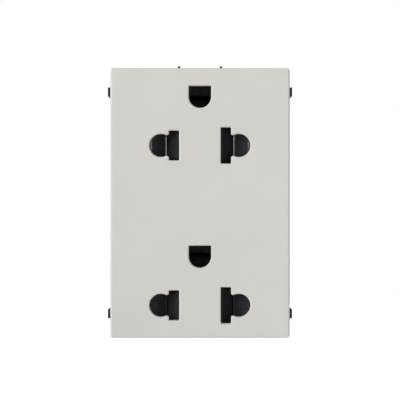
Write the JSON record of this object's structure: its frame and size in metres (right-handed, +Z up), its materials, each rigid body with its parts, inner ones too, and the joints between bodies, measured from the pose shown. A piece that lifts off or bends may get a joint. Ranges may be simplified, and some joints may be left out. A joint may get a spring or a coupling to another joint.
{
  "type": "duplex wall socket insert",
  "caption": "Snap-in wall socket insert: pale face plate with earth openings and keyhole pole openings closed by sprung shutters, black body, contact strips and clamp terminals",
  "frame": {"origin": "middle of the face plate, on the plane of its rear rim", "axes": "X to the right as seen from the front, Y into the wall, Z up"},
  "size_m": [0.0462, 0.03, 0.0672],
  "materials": {
    "face_plastic": "satin",
    "body_plastic": "satin",
    "shutter_plastic": "gloss",
    "contact_brass": "satin",
    "contact_tinned": "matte",
    "screw_steel": "satin",
    "spring_steel": "satin"
  },
  "bodies": {
    "insert": {"face_plate": "face_plastic", "housing": "body_plastic", "rear_cover": "body_plastic", "cover_screws": "screw_steel", "line_contact": "contact_brass", "neutral_contact": "contact_brass", "earth_contact": "contact_tinned", "upper_left_spring": "spring_steel", "upper_right_spring": "spring_steel", "upper_middle_spring": "spring_steel", "lower_left_spring": "spring_steel", "lower_right_spring": "spring_steel", "lower_middle_spring": "spring_steel"},
    "upper_left_outer_shutter": {"upper_left_outer_shutter": "shutter_plastic"},
    "upper_left_inner_shutter": {"upper_left_inner_shutter": "shutter_plastic"},
    "upper_right_outer_shutter": {"upper_right_outer_shutter": "shutter_plastic"},
    "upper_right_inner_shutter": {"upper_right_inner_shutter": "shutter_plastic"},
    "lower_left_outer_shutter": {"lower_left_outer_shutter": "shutter_plastic"},
    "lower_left_inner_shutter": {"lower_left_inner_shutter": "shutter_plastic"},
    "lower_right_outer_shutter": {"lower_right_outer_shutter": "shutter_plastic"},
    "lower_right_inner_shutter": {"lower_right_inner_shutter": "shutter_plastic"},
    "line_clamp": {"line_clamp": "screw_steel"},
    "line_screw": {"line_screw": "screw_steel"},
    "neutral_clamp": {"neutral_clamp": "screw_steel"},
    "neutral_screw": {"neutral_screw": "screw_steel"},
    "earth_clamp": {"earth_clamp": "screw_steel"},
    "earth_screw": {"earth_screw": "screw_steel"}
  },
  "joints": [
    {"name": "upper_left_outer_shutter_slide", "type": "slide", "parent": "insert", "child": "upper_left_outer_shutter", "axis": [-1, 0, 0], "range_m": [0, 0.0039], "stiffness_N_per_m": 120, "springref_m": -0.002, "deforming": ["upper_left_spring"]},
    {"name": "upper_left_inner_shutter_slide", "type": "slide", "parent": "insert", "child": "upper_left_inner_shutter", "axis": [1, 0, 0], "range_m": [0, 0.0028], "stiffness_N_per_m": 120, "springref_m": -0.002, "deforming": ["upper_middle_spring"]},
    {"name": "upper_right_outer_shutter_slide", "type": "slide", "parent": "insert", "child": "upper_right_outer_shutter", "axis": [1, 0, 0], "range_m": [0, 0.0039], "stiffness_N_per_m": 120, "springref_m": -0.002, "deforming": ["upper_right_spring"]},
    {"name": "upper_right_inner_shutter_slide", "type": "slide", "parent": "insert", "child": "upper_right_inner_shutter", "axis": [-1, 0, 0], "range_m": [0, 0.0028], "stiffness_N_per_m": 120, "springref_m": -0.002, "deforming": ["upper_middle_spring"]},
    {"name": "lower_left_outer_shutter_slide", "type": "slide", "parent": "insert", "child": "lower_left_outer_shutter", "axis": [-1, 0, 0], "range_m": [0, 0.0039], "stiffness_N_per_m": 120, "springref_m": -0.002, "deforming": ["lower_left_spring"]},
    {"name": "lower_left_inner_shutter_slide", "type": "slide", "parent": "insert", "child": "lower_left_inner_shutter", "axis": [1, 0, 0], "range_m": [0, 0.0028], "stiffness_N_per_m": 120, "springref_m": -0.002, "deforming": ["lower_middle_spring"]},
    {"name": "lower_right_outer_shutter_slide", "type": "slide", "parent": "insert", "child": "lower_right_outer_shutter", "axis": [1, 0, 0], "range_m": [0, 0.0039], "stiffness_N_per_m": 120, "springref_m": -0.002, "deforming": ["lower_right_spring"]},
    {"name": "lower_right_inner_shutter_slide", "type": "slide", "parent": "insert", "child": "lower_right_inner_shutter", "axis": [-1, 0, 0], "range_m": [0, 0.0028], "stiffness_N_per_m": 120, "springref_m": -0.002, "deforming": ["lower_middle_spring"]},
    {"name": "line_clamp_slide", "type": "slide", "parent": "insert", "child": "line_clamp", "axis": [-1, 0, 0], "range_m": [0, 0.0022]},
    {"name": "line_screw_turn", "type": "hinge", "parent": "line_clamp", "child": "line_screw", "pos_m": [-0.0161, 0.01005, -0.00548], "axis": [-1, 0, 0], "range_deg": [0, 1321]},
    {"name": "neutral_clamp_slide", "type": "slide", "parent": "insert", "child": "neutral_clamp", "axis": [1, 0, 0], "range_m": [0, 0.0022]},
    {"name": "neutral_screw_turn", "type": "hinge", "parent": "neutral_clamp", "child": "neutral_screw", "pos_m": [0.0161, 0.01005, -0.00548], "axis": [1, 0, 0], "range_deg": [0, 1321]},
    {"name": "earth_clamp_slide", "type": "slide", "parent": "insert", "child": "earth_clamp", "axis": [1, 0, 0], "range_m": [0, 0.0022]},
    {"name": "earth_screw_turn", "type": "hinge", "parent": "earth_clamp", "child": "earth_screw", "pos_m": [0.0161, 0.01005, 0.0207], "axis": [1, 0, 0], "range_deg": [0, 1321]}
  ],
  "couplings": [
    {"joint": "line_screw_turn", "follows": "line_clamp_slide", "rad_per_m": 10472},
    {"joint": "neutral_screw_turn", "follows": "neutral_clamp_slide", "rad_per_m": 10472},
    {"joint": "earth_screw_turn", "follows": "earth_clamp_slide", "rad_per_m": 10472}
  ]
}
